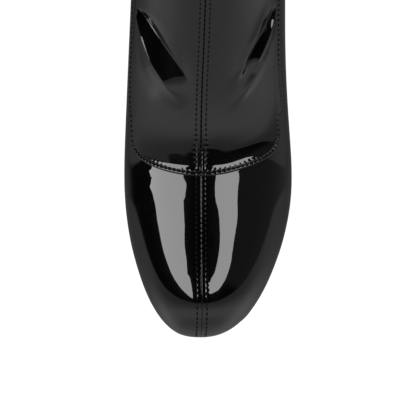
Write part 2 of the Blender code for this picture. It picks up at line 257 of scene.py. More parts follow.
def raw_surface(stations, angles, side):
    """Points of the upper's outside, measured back from the toe: x across, distance from the toe, height.

    An angle of -90 degrees is the bottom edge or the back seam, 0 the widest line and 90 the front seam.
    """
    stations, angles = np.broadcast_arrays(stations, angles)
    columns = columns_at(stations)
    turn = np.radians(angles)
    feather = columns[FEATHER]
    widest = columns[WIDEST]
    tucked, rounded = TUCK_CHANGE
    power = 1.0 + np.clip((tucked - feather) / (tucked - rounded), 0.0, 1.0)
    cosine = np.clip(np.cos(turn), 0.0, 1.0)
    below = turn < 0
    reach = np.where(below, feather + (1 - feather) * cosine ** (2 / power), cosine)
    climb = np.where(below, widest * (1 + np.sin(turn)), widest + (1 - widest) * np.sin(turn))
    across = columns[SEAM] + OUTWARD[side] * columns[side] * reach
    back = columns[LOW_BACK] + (columns[FRONT_BACK] - columns[LOW_BACK]) * climb
    up = columns[LOW_UP] + (columns[FRONT_UP] - columns[LOW_UP]) * climb
    return np.stack([across, back, up], axis=-1)


def middle_of_upper():
    """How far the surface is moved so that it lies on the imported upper."""
    stations = np.linspace(0.0, COLLAR, FINE_STEPS)[:, None]
    angles = np.linspace(-90.0, 90.0, FINE_ANGLES)[None, :]
    points = np.concatenate([raw_surface(stations, angles, side).reshape(-1, 3) for side in SIDES])
    low, high = (np.array(corner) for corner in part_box("upper"))
    shift = (points.min(axis=0) + points.max(axis=0)) / 2 - (low + high) / 2
    return np.array([shift[0], shift[1], 0.0])


MIDDLE = middle_of_upper()
TINY = 1e-12
STATION_STEP = 0.0008
ANGLE_STEP = 0.05
LEAST_STATION = 0.006
LOWEST_ANGLE = -88.5
HIGHEST_ANGLE = 89.9


def surface(stations, angles, side):
    return raw_surface(stations, angles, side) - MIDDLE


def unit(vectors):
    return vectors / np.maximum(np.linalg.norm(vectors, axis=-1, keepdims=True), TINY)


def surface_normals(stations, angles, side):
    stations, angles = np.broadcast_arrays(stations, angles)
    stations = np.clip(stations, LEAST_STATION, COLLAR - STATION_STEP)
    angles = np.clip(angles, LOWEST_ANGLE, HIGHEST_ANGLE)
    ahead = surface(stations + STATION_STEP, angles, side) - surface(stations - STATION_STEP, angles, side)
    over = surface(stations, angles + ANGLE_STEP, side) - surface(stations, angles - ANGLE_STEP, side)
    return unit(np.cross(ahead, over)) * OUTWARD[side]


# Helpers for lines that lie on the surface
def smooth(value, start, end):
    share = np.clip((value - start) / (end - start), 0.0, 1.0)
    return share * share * (3 - 2 * share)


def bell(value, width):
    return np.exp(-(value / width) ** 2)


def lengths_along(points):
    steps = np.linalg.norm(np.diff(points, axis=0), axis=-1)
    return np.concatenate([np.zeros((1,) + steps.shape[1:]), np.cumsum(steps, axis=0)])


Line = namedtuple("Line", "points tangents normals lengths")
POINTS_AT_ONCE = 8000


def make_line(stations, angles, side):
    points = surface(stations, angles, side)
    tangents = unit(np.gradient(points, axis=0))
    return Line(points, tangents, surface_normals(stations, angles, side), lengths_along(points))


def beside(points, line):
    """Each point's distance from a line, length along the line, and signed distance to the line's left."""
    flat = points.reshape(-1, 3)
    nearest = np.empty(len(flat), dtype=int)
    squares = (line.points ** 2).sum(axis=1)
    for start in range(0, len(flat), POINTS_AT_ONCE):
        part = slice(start, start + POINTS_AT_ONCE)
        nearest[part] = np.argmin(squares[None, :] - 2 * flat[part] @ line.points.T, axis=1)
    away = flat - line.points[nearest]
    forward = (away * line.tangents[nearest]).sum(axis=1)
    apart = np.sqrt(np.maximum((away ** 2).sum(axis=1) - forward ** 2, 0.0))
    left = unit(np.cross(line.tangents[nearest], -line.normals[nearest]))
    aside = (away * left).sum(axis=1)
    shape = points.shape[:-1]
    return apart.reshape(shape), (line.lengths[nearest] + forward).reshape(shape), aside.reshape(shape)


# The front panel's outline
def side_angle(stations, side):
    corner, upper = SIDE_ANGLE[side]
    start, length = SIDE_CHANGE
    return upper + (corner - upper) * bell(np.maximum(stations - start, 0.0), length)


def edge_station(angles, side):
    """Station of the panel's lower edge at an angle."""
    rounding, fade = CORNER_ROUND
    corner = SIDE_ANGLE[side][0]
    bend = EDGE_BEND[side] * (90.0 - angles) ** 2
    return EDGE_START + bend + rounding * np.exp(-np.maximum(angles - corner, 0) / fade)


def edge_angle(stations, side):
    """Angle of the panel's lower edge at a station, without the rounded corner."""
    return 90.0 - np.sqrt(np.maximum(stations - EDGE_START, 0.0) / EDGE_BEND[side])


def panel_border(side):
    """The panel's edge from the centre seam along the instep and up the side."""
    angles = np.linspace(90.0, 0.0, LOWER_EDGE_STEPS)
    lower = edge_station(angles, side)
    kept = angles > side_angle(lower, side)
    upper = np.linspace(lower[kept][-1], COLLAR, SIDE_EDGE_STEPS)[1:]
    stations = np.concatenate([lower[kept], upper])
    return make_line(stations, np.concatenate([angles[kept], side_angle(upper, side)]), side)


BORDERS = {side: panel_border(side) for side in SIDES}
SEAM_STATIONS = np.linspace(0.0, COLLAR, SEAM_STEPS)
SEAM_LENGTHS = lengths_along(surface(SEAM_STATIONS, np.full(SEAM_STEPS, 90.0), MEDIAL))


def crease_line(crease):
    fine = spline(np.array(crease.line, dtype=float), np.linspace(0.0, 1.0, CREASE_STEPS))
    return make_line(fine[:, 0], fine[:, 1], crease.side)


CREASE_LINES = [crease_line(crease) for crease in CREASES]


# Relief: how far the leather stands off the surface
def centre_seam_relief(distance, along, join_width):
    wave = np.cos(2 * np.pi * along / PITCH)
    join = -JOIN_DEPTH * (1 + JOIN_WAVE * wave) * bell(distance, join_width)
    strip = STRIP_RISE * smooth(distance, 0.0, STRIP_START) * (1 - smooth(distance, *STRIP_END))
    off_row = distance - SEAM_ROW
    row = -ROW_DEPTH * bell(off_row, ROW_WIDTH)
    pucker = SEAM_PUCKER * wave * bell(off_row, PUCKER_REACH)
    return join + strip + row + pucker


def spread(share, values):
    """Values evenly spaced along a line, at a share of its length."""
    return np.interp(share, np.linspace(0.0, 1.0, len(values)), values)


def fold_shape(off, lean):
    """Height across a fold of slope one: straight in the middle, then back to nothing on both sides."""
    away = np.abs(off)
    back = np.exp(-np.maximum(away - 1.0, -1.0) / FOLD_RETURN)
    lower = -FOLD_CORNER * np.logaddexp(-away / FOLD_CORNER, -back / FOLD_CORNER)
    return (np.sign(off) * lower + lean * np.minimum(back, 1.0)) * (1 - smooth(away, *FOLD_REACH))


def crease_relief(points, side):
    relief = np.zeros(points.shape[:-1])
    for crease, line in zip(CREASES, CREASE_LINES):
        if crease.side != side:
            continue
        _, along, aside = beside(points, line)
        share = along / line.lengths[-1]
        fade = smooth(share, 0.0, crease.fades[0]) * (1 - smooth(share, 1 - crease.fades[1], 1.0))
        share = np.clip(share, 0.0, 1.0)
        width = spread(share, crease.widths)
        slope = spread(share, crease.slopes)
        off = aside / width
        ridge = crease.height * bell(off, 1.0)
        fold = slope * width * fold_shape(off, crease.lean * np.sign(slope))
        relief += fade * (ridge + fold)
    return relief


def wave_relief(points):
    return sum(size * np.sin(points @ np.array(turns) + phase) for size, turns, phase in WAVES)


def seam_distance(stations, angles, side):
    return columns_at(stations)[side] * np.clip(np.cos(np.radians(angles)), 0.0, 1.0)


def panel_relief(stations, angles, side):
    points = surface(stations, angles, side)
    apart, along, _ = beside(points, BORDERS[side])
    rounding = np.sqrt(np.maximum(1 - np.clip(1 - apart / EDGE_RADIUS, 0.0, 1.0) ** 2, 0.0))
    relief = (PANEL_THICKNESS + EDGE_SUNK) * rounding - EDGE_SUNK
    wave = np.cos(2 * np.pi * along / PITCH)
    relief -= EDGE_ROW_DEPTH * bell(apart - EDGE_ROW, ROW_WIDTH)
    relief += PUCKER * wave * bell(apart - EDGE_ROW, PUCKER_REACH)
    seam_along = np.interp(stations, SEAM_STATIONS, SEAM_LENGTHS)
    distance = seam_distance(stations, angles, side)
    relief += centre_seam_relief(distance, seam_along, JOIN_WIDTH)
    start, top, end = SWELLING_PLACES[side]
    above = stations - edge_station(angles, side)
    share = np.clip((above - start) / (top - start), 0.0, 1.0)
    swelling = (1 - (1 - share) ** 2) * (1 - smooth(above, top, end))
    swelling = swelling * smooth(angles - side_angle(stations, side), *SWELLING_FADE)
    centre = smooth(angles, *SWELLING_SIDES[side])
    at_centre, at_side = SWELLING[side]
    relief += swelling * (at_side + (at_centre - at_side) * centre)
    relief += EDGE_LIFT[side] * (1 - smooth(above, 0.0, LIFT_LENGTH)) * (1 - centre) * rounding
    inner = smooth(apart, *CREASE_TO_EDGE) * smooth(distance, *CREASE_TO_SEAM)
    return relief + inner * (crease_relief(points, side) + wave_relief(points))


def body_relief(stations, angles, side):
    distance = seam_distance(stations, angles, side)
    seam_along = np.interp(stations, SEAM_STATIONS, SEAM_LENGTHS)
    front = VAMP_SEAM_SHARE * smooth(stations, *VAMP_SEAM_START) * (angles > 0)
    back = smooth(stations, *BACK_JOIN_START) * (angles < 0)
    relief = front * centre_seam_relief(distance, seam_along, VAMP_JOIN_WIDTH)
    return relief - back * BACK_JOIN_DEPTH * bell(distance, BACK_JOIN_WIDTH)


def raised(stations, angles, side, relief):
    stations, angles = np.broadcast_arrays(stations, angles)
    points = surface(stations, angles, side)
    return points + surface_normals(stations, angles, side) * np.asarray(relief)[..., None]


# Meshes
def add_piece(name, vertices, faces, material, replaces=()):
    mesh = bpy.data.meshes.new(name)
    mesh.from_pydata(np.asarray(vertices).tolist(), [], np.asarray(faces).tolist())
    return add_mesh(name, mesh, material, replaces)


def add_mesh(name, mesh, material, replaces=()):
    mesh.materials.append(material)
    mesh.shade_smooth()
    piece = bpy.data.objects.new(name, mesh)
    bpy.context.collection.objects.link(piece)
    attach(piece, "root")
    if replaces:
        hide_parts(*replaces)
    return piece


def grid_faces(rows, columns, turned):
    first = (np.arange(rows - 1)[:, None] * columns + np.arange(columns - 1)[None, :]).ravel()
    quads = np.stack([first, first + 1, first + columns + 1, first + columns], axis=1)
    return quads[:, ::-1] if turned else quads


def add_grid(name, points, material, turned, replaces=()):
    rows, columns, _ = points.shape
    return add_piece(name, points.reshape(-1, 3), grid_faces(rows, columns, turned), material, replaces)


# Columns and rows near seams are close together, by distance in metres from the seam
SEAM_COLUMNS = np.array([6.0, 5.2, 4.6, 4.1, 3.7, 3.4, 3.1, 2.9, 2.72, 2.55, 2.4, 2.2, 1.95, 1.65, 1.3, 0.95,
                         0.7, 0.5, 0.36, 0.24, 0.12, 0.0]) / 1000
EDGE_ROWS = np.array([0.0, 0.08, 0.17, 0.28, 0.42, 0.58, 0.78, 1.0, 1.25, 1.5, 1.7, 1.9, 2.1, 2.3, 2.6, 3.0,
                      3.5, 4.1, 4.8]) / 1000
SEAM_SHARE = 0.55         # where the last is narrow, the seam's columns take up this share of the half width
BODY_ROW = 0.00045        # row spacing on the vamp, then behind the panel's edge
BODY_COARSE_ROW = 0.0016
PANEL_ROWS = 420
PANEL_COLUMNS = 150
PANEL_ARC = 0.060         # rough width of half the panel
LOW_COLUMNS = 30
LOW_CROWDING = 1.5        # the low columns crowd towards the bottom edge
TOP_COLUMNS = 84
EDGE_GUESS = 0.1          # where the search for the panel's edge starts, in stations above its lowest point
EDGE_ROUNDS = 12
PROBE_STEPS = 500
LEAST_LENGTH = 1e-9


def seam_angles(stations, side):
    """Angles of the close columns beside the centre seam, for each station of a column array."""
    width = columns_at(stations)[side]
    scale = np.minimum(1.0, SEAM_SHARE * width / SEAM_COLUMNS[0])
    share = SEAM_COLUMNS[None, :] * scale / np.maximum(width, LEAST_LENGTH)
    return np.degrees(np.arccos(np.clip(share, 0.0, 1.0)))


def make_body(side, material):
    """One half of vamp, quarter and counter, from the bottom edge to under the front panel."""
    vamp_end = EDGE_START + 2 * UNDERLAP_STATIONS
    vamp_length = np.interp(vamp_end, SEAM_STATIONS, SEAM_LENGTHS)
    vamp = np.interp(np.arange(0.0, vamp_length, BODY_ROW), SEAM_LENGTHS, SEAM_STATIONS)
    rest_length = SEAM_LENGTHS[-1] - vamp_length
    rest = np.linspace(vamp_end, COLLAR, int(rest_length / BODY_COARSE_ROW))
    stations = np.concatenate([vamp, rest])[:, None]
    near = seam_angles(stations, side)
    low = -90.0 + 90.0 * np.linspace(0.0, 1.0, LOW_COLUMNS) ** LOW_CROWDING
    top = near[:, :1] * np.linspace(0.0, 1.0, TOP_COLUMNS)[None, 1:-1]
    angles = np.concatenate([np.broadcast_to(low, (len(stations), LOW_COLUMNS)), top, near], axis=1)
    limit = edge_angle(stations - UNDERLAP_STATIONS, side)
    limit = np.minimum(np.maximum(limit, side_angle(stations, side) + UNDERLAP_ANGLE), 90.0)
    angles = -90.0 + (angles + 90.0) * (limit + 90.0) / 180.0
    stations = np.broadcast_to(stations, angles.shape)
    points = raised(stations, angles, side, body_relief(stations, angles, side))
    name = "vamp_and_quarter_" + SIDE_NAMES[side]
    return add_grid(name, points, material, side == LATERAL, ["upper"])


def panel_angles(stations, shares, side):
    """Angles of the panel's columns: shares run from the side seam to the columns at the centre seam."""
    width = columns_at(stations)[side]
    start = side_angle(stations, side)
    near = np.degrees(np.arccos(np.minimum(SEAM_COLUMNS / width[..., None], 1.0)))
    outer = start[..., None] + (near[..., :1] - start[..., None]) * shares
    return np.concatenate([outer, near], axis=-1)


def make_panel(side, material):
    """One half of the front panel, from its lapped edge to the collar."""
    close = EDGE_ROWS / PANEL_ARC
    shares = np.concatenate([close, np.linspace(close[-1], 1.0, PANEL_COLUMNS)[1:-1]])
    count = len(shares) + len(SEAM_COLUMNS)
    edge = np.full(count, EDGE_START + EDGE_GUESS)
    for _ in range(EDGE_ROUNDS):
        angles = panel_angles(edge, shares, side)[np.arange(count), np.arange(count)]
        edge = edge_station(angles, side)
    probe = edge[None, :] + (COLLAR - edge[None, :]) * np.linspace(0.0, 1.0, PROBE_STEPS)[:, None]
    probe_angles = np.stack([panel_angles(probe[:, i], shares, side)[:, i] for i in range(count)], axis=1)
    lengths = lengths_along(surface(probe, probe_angles, side))
    stations = np.empty((len(EDGE_ROWS) + PANEL_ROWS - 1, count))
    angles = np.empty_like(stations)
    for i in range(count):
        wanted = np.concatenate([EDGE_ROWS, np.linspace(EDGE_ROWS[-1], lengths[-1, i], PANEL_ROWS)[1:]])
        stations[:, i] = np.interp(wanted, lengths[:, i], probe[:, i])
        angles[:, i] = np.interp(wanted, lengths[:, i], probe_angles[:, i])
    points = raised(stations, angles, side, panel_relief(stations, angles, side))
    name = "front_panel_" + SIDE_NAMES[side]
    return add_grid(name, points, material, side == LATERAL, ["upper"])


# Stitches, each a short bent length of thread
STITCH_LENGTH = 0.0021
THREAD_RADIUS = 0.00041    # of the centre seam
EDGE_THREAD_RADIUS = 0.00048
STITCH_RINGS = np.array([-1.0, -0.85, -0.5, 0.0, 0.5, 0.85, 1.0])
STITCH_SIDES = 6
STITCH_THINNING = 0.9     # share of its section that a stitch loses where it goes into the leather
STITCH_LIFT = 0.55        # thread radii by which its middle stands up
STITCH_SAG = 1.1          # thread radii by which its ends go down from there
ROW_STEPS = 600
VAMP_ROWS_START = 0.02    # stations left free of stitches: at the toe,
PANEL_ROWS_START = 0.01   # above the panel's edge,
PANEL_ROWS_END = 0.02     # and at the collar


def stitch_shape(thread_radius):
    """Vertices of one stitch along X with Z up, and its faces."""
    vertices = []
    for place in STITCH_RINGS:
        radius = thread_radius * np.sqrt(1.0 - STITCH_THINNING * place ** 4)
        lift = thread_radius * (STITCH_LIFT - STITCH_SAG * place ** 2)
        for turn in np.arange(STITCH_SIDES) * 2 * np.pi / STITCH_SIDES:
            vertices.append((place * STITCH_LENGTH / 2, radius * np.cos(turn), lift + radius * np.sin(turn)))
    faces = []
    for ring in range(len(STITCH_RINGS) - 1):
        start = ring * STITCH_SIDES
        end = start + STITCH_SIDES
        for corner in range(STITCH_SIDES):
            after = (corner + 1) % STITCH_SIDES
            faces.append((start + corner, start + after, end + after, end + corner))
    return np.array(vertices), np.array(faces)


def add_stitches(name, rows, thread_radius, material):
    """Joined stitches along rows, each row an array of points and one of outward normals."""
    shape, shape_faces = stitch_shape(thread_radius)
    vertices = []
    faces = []
    for points, normals in rows:
        lengths = lengths_along(points)
        places = np.arange(PITCH / 2, lengths[-1], PITCH)
        middles = np.stack([np.interp(places, lengths, points[:, axis]) for axis in range(3)], axis=1)
        forward = np.gradient(points, axis=0)
        forward = unit(np.stack([np.interp(places, lengths, forward[:, axis]) for axis in range(3)], axis=1))
        up = unit(np.stack([np.interp(places, lengths, normals[:, axis]) for axis in range(3)], axis=1))
        aside = unit(np.cross(up, forward))
        up = np.cross(forward, aside)
        for middle, x, y, z in zip(middles, forward, aside, up):
            faces.append(shape_faces + len(vertices) * len(shape))
            vertices.append(middle + shape[:, :1] * x + shape[:, 1:2] * y + shape[:, 2:] * z)
    return add_piece(name, np.concatenate(vertices), np.concatenate(faces), material)


def centre_rows(start, end, on_panel):
    rows = []
    for side in SIDES:
        stations = np.linspace(start, end, ROW_STEPS)
        width = columns_at(stations)[side]
        angles = np.degrees(np.arccos(np.clip(SEAM_ROW / width, 0.0, 1.0)))
        relief = panel_relief(stations, angles, side) if on_panel else body_relief(stations, angles, side)
        rows.append((raised(stations, angles, side, relief), surface_normals(stations, angles, side)))
    return rows


def border_rows():
    rows = []
    for side in SIDES:
        line = BORDERS[side]
        inward = unit(np.cross(line.tangents, line.normals)) * -OUTWARD[side]
        height = PANEL_THICKNESS - EDGE_ROW_DEPTH
        rows.append((line.points + inward * EDGE_ROW + line.normals * height, line.normals))
    return rows


# Sole pieces, from outlines of two sides in the raw frame
def feather_line(stations):
    return np.array([raw_surface(stations, np.full(len(stations), -90.0), side) for side in SIDES])


def station_at(back):
    stations = np.linspace(0.0, 1.0, FINE_STEPS)
    return np.interp(back, feather_line(stations)[0][:, 1], stations)


SOLE_STEPS = 150
SEAT_STEPS = 60
HEEL_LEVELS = 40


def sole_stations(end=BREAST):
    return np.linspace(0.0, station_at(end), SOLE_STEPS + 1)


def seat_stations():
    return np.linspace(station_at(BREAST), 1.0, SEAT_STEPS + 1)


def foot_stations():
    return np.concatenate([sole_stations(), seat_stations()[1:]])


def tread_height(back):
    """Height of the platform's underside at a distance back from the toe."""
    flat = OUTSOLE_THICKNESS + GAP
    line = feather_line(np.linspace(0.0, 1.0, FINE_STEPS))[0]
    shank = np.interp(back, line[:, 1], line[:, 2]) - SHANK_THICKNESS
    shank_height = np.interp(SHANK_START, line[:, 1], line[:, 2]) - SHANK_THICKNESS
    toe_share = np.clip((TREAD_FRONT - back) / (TREAD_FRONT - TOE_RAKE), 0.0, 1.0)
    toe = flat + TREAD_LIFT * toe_share ** 2
    run = SHANK_START - TREAD_BACK
    share = np.clip((back - TREAD_BACK) / run, 0.0, 1.0)
    arch = flat + (shank_height - flat) * share ** 2 * (3 - 2 * share)
    arch = arch + SHANK_SLOPE * run * share ** 2 * (share - 1)
    return np.where(back < TREAD_FRONT, toe, np.where(back < SHANK_START, arch, shank))


def raked(points):
    """The bottom edge's points moved in and back to where the tread's edge is, in plan."""
    middle = points.mean(axis=0)
    out = points.copy()
    fade = np.clip(1.0 - points[..., 1] / RAKE_LENGTH, 0.0, 1.0) ** RAKE_FADE
    out[..., 0] = middle[..., 0] + (points[..., 0] - middle[..., 0]) * TREAD_WIDTH
    out[..., 1] = points[..., 1] + TOE_RAKE * fade
    return out


def heel_scaled(points, depth):
    """The heel seat's outline drawn in towards the heel's middle, by depth from 0 (seat) to 1 (floor)."""
    middle = points.mean(axis=0)
    scale = 1.0 - HEEL_TAPER * depth ** HEEL_WAIST
    out = points.copy()
    out[..., 0] = middle[..., 0] + (points[..., 0] - middle[..., 0]) * scale
    out[..., 1] = HEEL_CENTRE + (points[..., 1] - HEEL_CENTRE) * scale
    return out


def with_height(points, height):
    out = points.copy()
    out[..., 2] = height
    return out


def inset(points, distance):
    """An outline's two sides moved inwards in plan."""
    out = points.copy()
    for side, inward in ((0, 1.0), (1, -1.0)):
        run = np.gradient(points[side], axis=0)
        run[0, 1] = 0.0
        run[-1, 1] = 0.0
        length = np.maximum(np.hypot(run[:, 0], run[:, 1]), LEAST_LENGTH)
        out[side, :, 0] += inward * distance * run[:, 1] / length
        out[side, :, 1] -= inward * distance * run[:, 0] / length
    return out


SHARP_ANGLE = np.radians(40.0)
WELD_DISTANCE = 1e-6


def add_stacked(name, levels, material, replaces):
    """A closed solid through levels, each a pair of sides of the same number of points."""
    builder = bmesh.new()
    rings = []
    for sides in levels:
        rings.append([[builder.verts.new(point) for point in side] for side in np.asarray(sides) - MIDDLE])
    strips = []
    for above, below in zip(rings, rings[1:]):
        strips += [(above[0], below[0]), (above[1], below[1])]
        strips += [((above[0][end], above[1][end]), (below[0][end], below[1][end])) for end in (0, -1)]
    strips += [(ring[0], ring[1]) for ring in (rings[0], rings[-1])]
    for first, second in strips:
        for corners in zip(first, first[1:], second[1:], second):
            builder.faces.new(corners)
    bmesh.ops.remove_doubles(builder, verts=builder.verts, dist=WELD_DISTANCE)
    bmesh.ops.recalc_face_normals(builder, faces=builder.faces)
    mesh = bpy.data.meshes.new(name)
    builder.to_mesh(mesh)
    builder.free()
    piece = add_mesh(name, mesh, material, replaces)
    mesh.set_sharp_from_angle(angle=SHARP_ANGLE)
    return piece


# Rounded edges of the sole pieces: radius above, radius below, and levels between them
RoundEdges = namedtuple("RoundEdges", "above below levels")
PLATFORM_EDGES = RoundEdges(0.0008, 0.0006, 8)
OUTSOLE_EDGES = RoundEdges(0.0003, 0.0008, 1)
TOP_PIECE_EDGES = RoundEdges(0.0003, 0.0007, 2)
INSOLE_EDGES = RoundEdges(0.0010, 0.0002, 1)
ROUND_STEPS = np.radians(np.linspace(0.0, 90.0, 5))
ROUND_LIMIT = 0.4         # share of a thin piece's side that one edge may take up


def rounded_levels(top, bottom, edges):
    """Levels from one outline down to another with rounded edges."""
    levels = []
    depth = np.maximum(np.linalg.norm((top - bottom), axis=-1, keepdims=True), WELD_DISTANCE)
    for turn in ROUND_STEPS:
        share = np.minimum(edges.above * (1 - np.cos(turn)) / depth, ROUND_LIMIT)
        levels.append(inset(top + (bottom - top) * share, edges.above * (1 - np.sin(turn))))
    for share in np.linspace(0.0, 1.0, edges.levels + 2)[1:-1]:
        levels.append(top + (bottom - top) * share)
    for turn in ROUND_STEPS[::-1]:
        share = np.minimum(edges.below * (1 - np.cos(turn)) / depth, ROUND_LIMIT)
        levels.append(inset(bottom + (top - bottom) * share, edges.below * (1 - np.sin(turn))))
    return levels


def make_platform(material):
    top = feather_line(foot_stations())
    top[..., 2] -= GAP
    bottom = raked(top)
    bottom = with_height(bottom, tread_height(bottom[..., 1]))
    levels = rounded_levels(top, bottom, PLATFORM_EDGES)
    return add_stacked("platform_cover", levels, material, ["platform"])


def make_outsole(material):
    outline = raked(feather_line(sole_stations(BREAST - 2 * GAP)))
    height = tread_height(outline[..., 1]) - GAP
    top = with_height(outline, height)
    bottom = with_height(outline, height - OUTSOLE_THICKNESS)
    levels = rounded_levels(top, bottom, OUTSOLE_EDGES)
    return add_stacked("outsole_sheet", levels, material, ["outsole"])


def make_heel(material):
    seat = raked(feather_line(seat_stations()))
    seat_height = tread_height(seat[..., 1]) - GAP
    levels = []
    for depth in np.linspace(0.0, 1.0, HEEL_LEVELS):
        height = seat_height + (TOP_PIECE_THICKNESS + GAP - seat_height) * depth
        levels.append(with_height(heel_scaled(seat, depth), height))
    return add_stacked("heel_cover", levels, material, ["heel"])


def make_top_piece(material):
    outline = heel_scaled(raked(feather_line(seat_stations())), 1.0)
    top = with_height(outline, TOP_PIECE_THICKNESS)
    levels = rounded_levels(top, with_height(outline, 0.0), TOP_PIECE_EDGES)
    return add_stacked("heel_tip", levels, material, ["heel_top_piece"])


def make_insole(material):
    outline = inset(feather_line(foot_stations()), WALL + GAP)
    top = outline + np.array([0.0, 0.0, INSOLE_THICKNESS])
    levels = rounded_levels(top, outline, INSOLE_EDGES)
    return add_stacked("sock_lining", levels, material, ["insole"])


LINING_ROWS = 110
LINING_COLUMNS = 60


def make_lining(side, material):
    stations = np.linspace(LEAST_STATION, COLLAR, LINING_ROWS)[:, None]
    angles = np.linspace(-90.0, 90.0, LINING_COLUMNS)[None, :]
    stations, angles = np.broadcast_arrays(stations, angles)
    relief = crease_relief(surface(stations, angles, side), side) - WALL
    points = raised(stations, angles, side, relief)
    return add_grid("lining_" + SIDE_NAMES[side], points, material, side == MEDIAL)


COLLAR_TURNS = np.radians(np.linspace(0.0, 180.0, 9))
COLLAR_STEPS = 241
COLLAR_STATION_STEP = 0.002


def make_collar(material):
    """The rounded top edge, from the leather over to the lining."""
    rings = []
    for side in SIDES:
        angles = np.linspace(-90.0, 90.0, COLLAR_STEPS)
        stations = np.full(angles.shape, COLLAR)
        points = surface(stations, angles, side)
        normals = surface_normals(stations, angles, side)
        rise = unit(points - surface(stations - COLLAR_STATION_STEP, angles, side))
        outer = np.where(angles >= side_angle(stations, side), panel_relief(stations, angles, side), 0.0)
        half = (outer + WALL) / 2
        ring = []
        for turn in COLLAR_TURNS:
            out = (outer - half) + half * np.cos(turn)
            over = half * np.sin(turn)
            ring.append(points + normals * out[:, None] + rise * over[:, None])
        rings.append(np.array(ring))
    both = np.concatenate([rings[0], rings[1][:, -2::-1]], axis=1)
    return add_grid("collar_edge", both, material, False)


# Materials
LEATHER_COLOUR = (0.0012, 0.0012, 0.0013)
RUBBER_COLOUR = (0.014, 0.014, 0.014)
LINING_COLOUR = (0.020, 0.019, 0.018)
THREAD_COLOUR = (0.003, 0.003, 0.003)
LEATHER_ROUGHNESS = 0.30   # under the clear coat
COVER_ROUGHNESS = 0.32
ROUGHNESS_CHANGE = 0.05
NOISE_RANGE = (0.3, 0.7)   # most of a texture's values lie between these


def new_material(name, colour, roughness, **values):
    """A principled material; values are named by socket with spaces as underscores."""
    made = bpy.data.materials.new(name)
    made.use_nodes = True
    shader = made.node_tree.nodes["Principled BSDF"]
    shader.inputs["Base Color"].default_value = (*colour, 1.0)
    shader.inputs["Roughness"].default_value = roughness
    for socket, value in values.items():
        shader.inputs[socket.replace("_", " ")].default_value = value
    return made


def add_noise(material, kind, scale, detail=2.0):
    nodes = material.node_tree.nodes
    texture = nodes.new(kind)
    texture.inputs["Scale"].default_value = scale
    if "Detail" in texture.inputs:
        texture.inputs["Detail"].default_value = detail
    place = nodes.new("ShaderNodeTexCoord")
    material.node_tree.links.new(place.outputs["Object"], texture.inputs["Vector"])
    return texture.outputs["Distance"] if kind == "ShaderNodeTexVoronoi" else texture.outputs["Fac"]


def add_bump(material, height, strength, distance, socket="Normal"):
    nodes = material.node_tree.nodes
    bump = nodes.new("ShaderNodeBump")
    bump.inputs["Strength"].default_value = strength
    bump.inputs["Distance"].default_value = distance
    material.node_tree.links.new(height, bump.inputs["Height"])
    material.node_tree.links.new(bump.outputs["Normal"], nodes["Principled BSDF"].inputs[socket])


def vary(material, value, low, high, socket):
    """A socket that follows a texture between two numbers."""
    nodes = material.node_tree.nodes
    ramp = nodes.new("ShaderNodeMapRange")
    ramp.inputs["From Min"].default_value = NOISE_RANGE[0]
    ramp.inputs["From Max"].default_value = NOISE_RANGE[1]
    ramp.inputs["To Min"].default_value = low
    ramp.inputs["To Max"].default_value = high
    material.node_tree.links.new(value, ramp.inputs["Value"])
    material.node_tree.links.new(ramp.outputs["Result"], nodes["Principled BSDF"].inputs[socket])


def patent_leather(name, roughness):
    made = new_material(name, LEATHER_COLOUR, roughness, Coat_Weight=1.0, Coat_Roughness=0.02,
                        Coat_IOR=1.5, Specular_IOR_Level=0.02)
    grain = add_noise(made, "ShaderNodeTexVoronoi", scale=1400.0)
    add_bump(made, grain, strength=0.25, distance=0.0001)
    peel = add_noise(made, "ShaderNodeTexNoise", scale=160.0, detail=1.0)
    add_bump(made, peel, strength=0.05, distance=0.0002, socket="Coat Normal")
    cloud = add_noise(made, "ShaderNodeTexNoise", scale=40.0, detail=4.0)
    vary(made, cloud, roughness - ROUGHNESS_CHANGE, roughness + ROUGHNESS_CHANGE, "Roughness")
    return made


def rubber(name):
    made = new_material(name, RUBBER_COLOUR, roughness=0.62)
    grit = add_noise(made, "ShaderNodeTexNoise", scale=1800.0, detail=3.0)
    add_bump(made, grit, strength=0.35, distance=0.0002)
    cloud = add_noise(made, "ShaderNodeTexNoise", scale=90.0, detail=5.0)
    vary(made, cloud, low=0.52, high=0.72, socket="Roughness")
    return made


def lining_leather(name):
    made = new_material(name, LINING_COLOUR, roughness=0.62, Sheen_Weight=0.15)
    grain = add_noise(made, "ShaderNodeTexVoronoi", scale=1100.0)
    add_bump(made, grain, strength=0.4, distance=0.0002)
    cloud = add_noise(made, "ShaderNodeTexNoise", scale=60.0, detail=5.0)
    vary(made, cloud, low=0.52, high=0.72, socket="Roughness")
    return made


def thread(name):
    made = new_material(name, THREAD_COLOUR, roughness=0.5, Specular_IOR_Level=0.10)
    twist = add_noise(made, "ShaderNodeTexNoise", scale=4000.0)
    add_bump(made, twist, strength=0.5, distance=0.0001)
    cloud = add_noise(made, "ShaderNodeTexNoise", scale=900.0)
    vary(made, cloud, low=0.35, high=0.5, socket="Roughness")
    return made


# Camera, at the photograph's angle. The directions across, up and towards it also lay out the studio.
ELEVATION = np.radians(55.0)
DISTANCE = 1.1
VIEW_WIDTH = 0.223         # width of the picture where the camera aims
SENSOR_MM = 36.0
AIM = np.array([0.0, 0.0627, 0.0705]) - MIDDLE * np.array([0.0, 1.0, 0.0])
ACROSS = np.array([1.0, 0.0, 0.0])
HEELWARD = np.array([0.0, 1.0, 0.0])
UPWARD = np.array([0.0, np.sin(ELEVATION), np.cos(ELEVATION)])
TOWARDS = np.array([0.0, -np.cos(ELEVATION), np.sin(ELEVATION)])


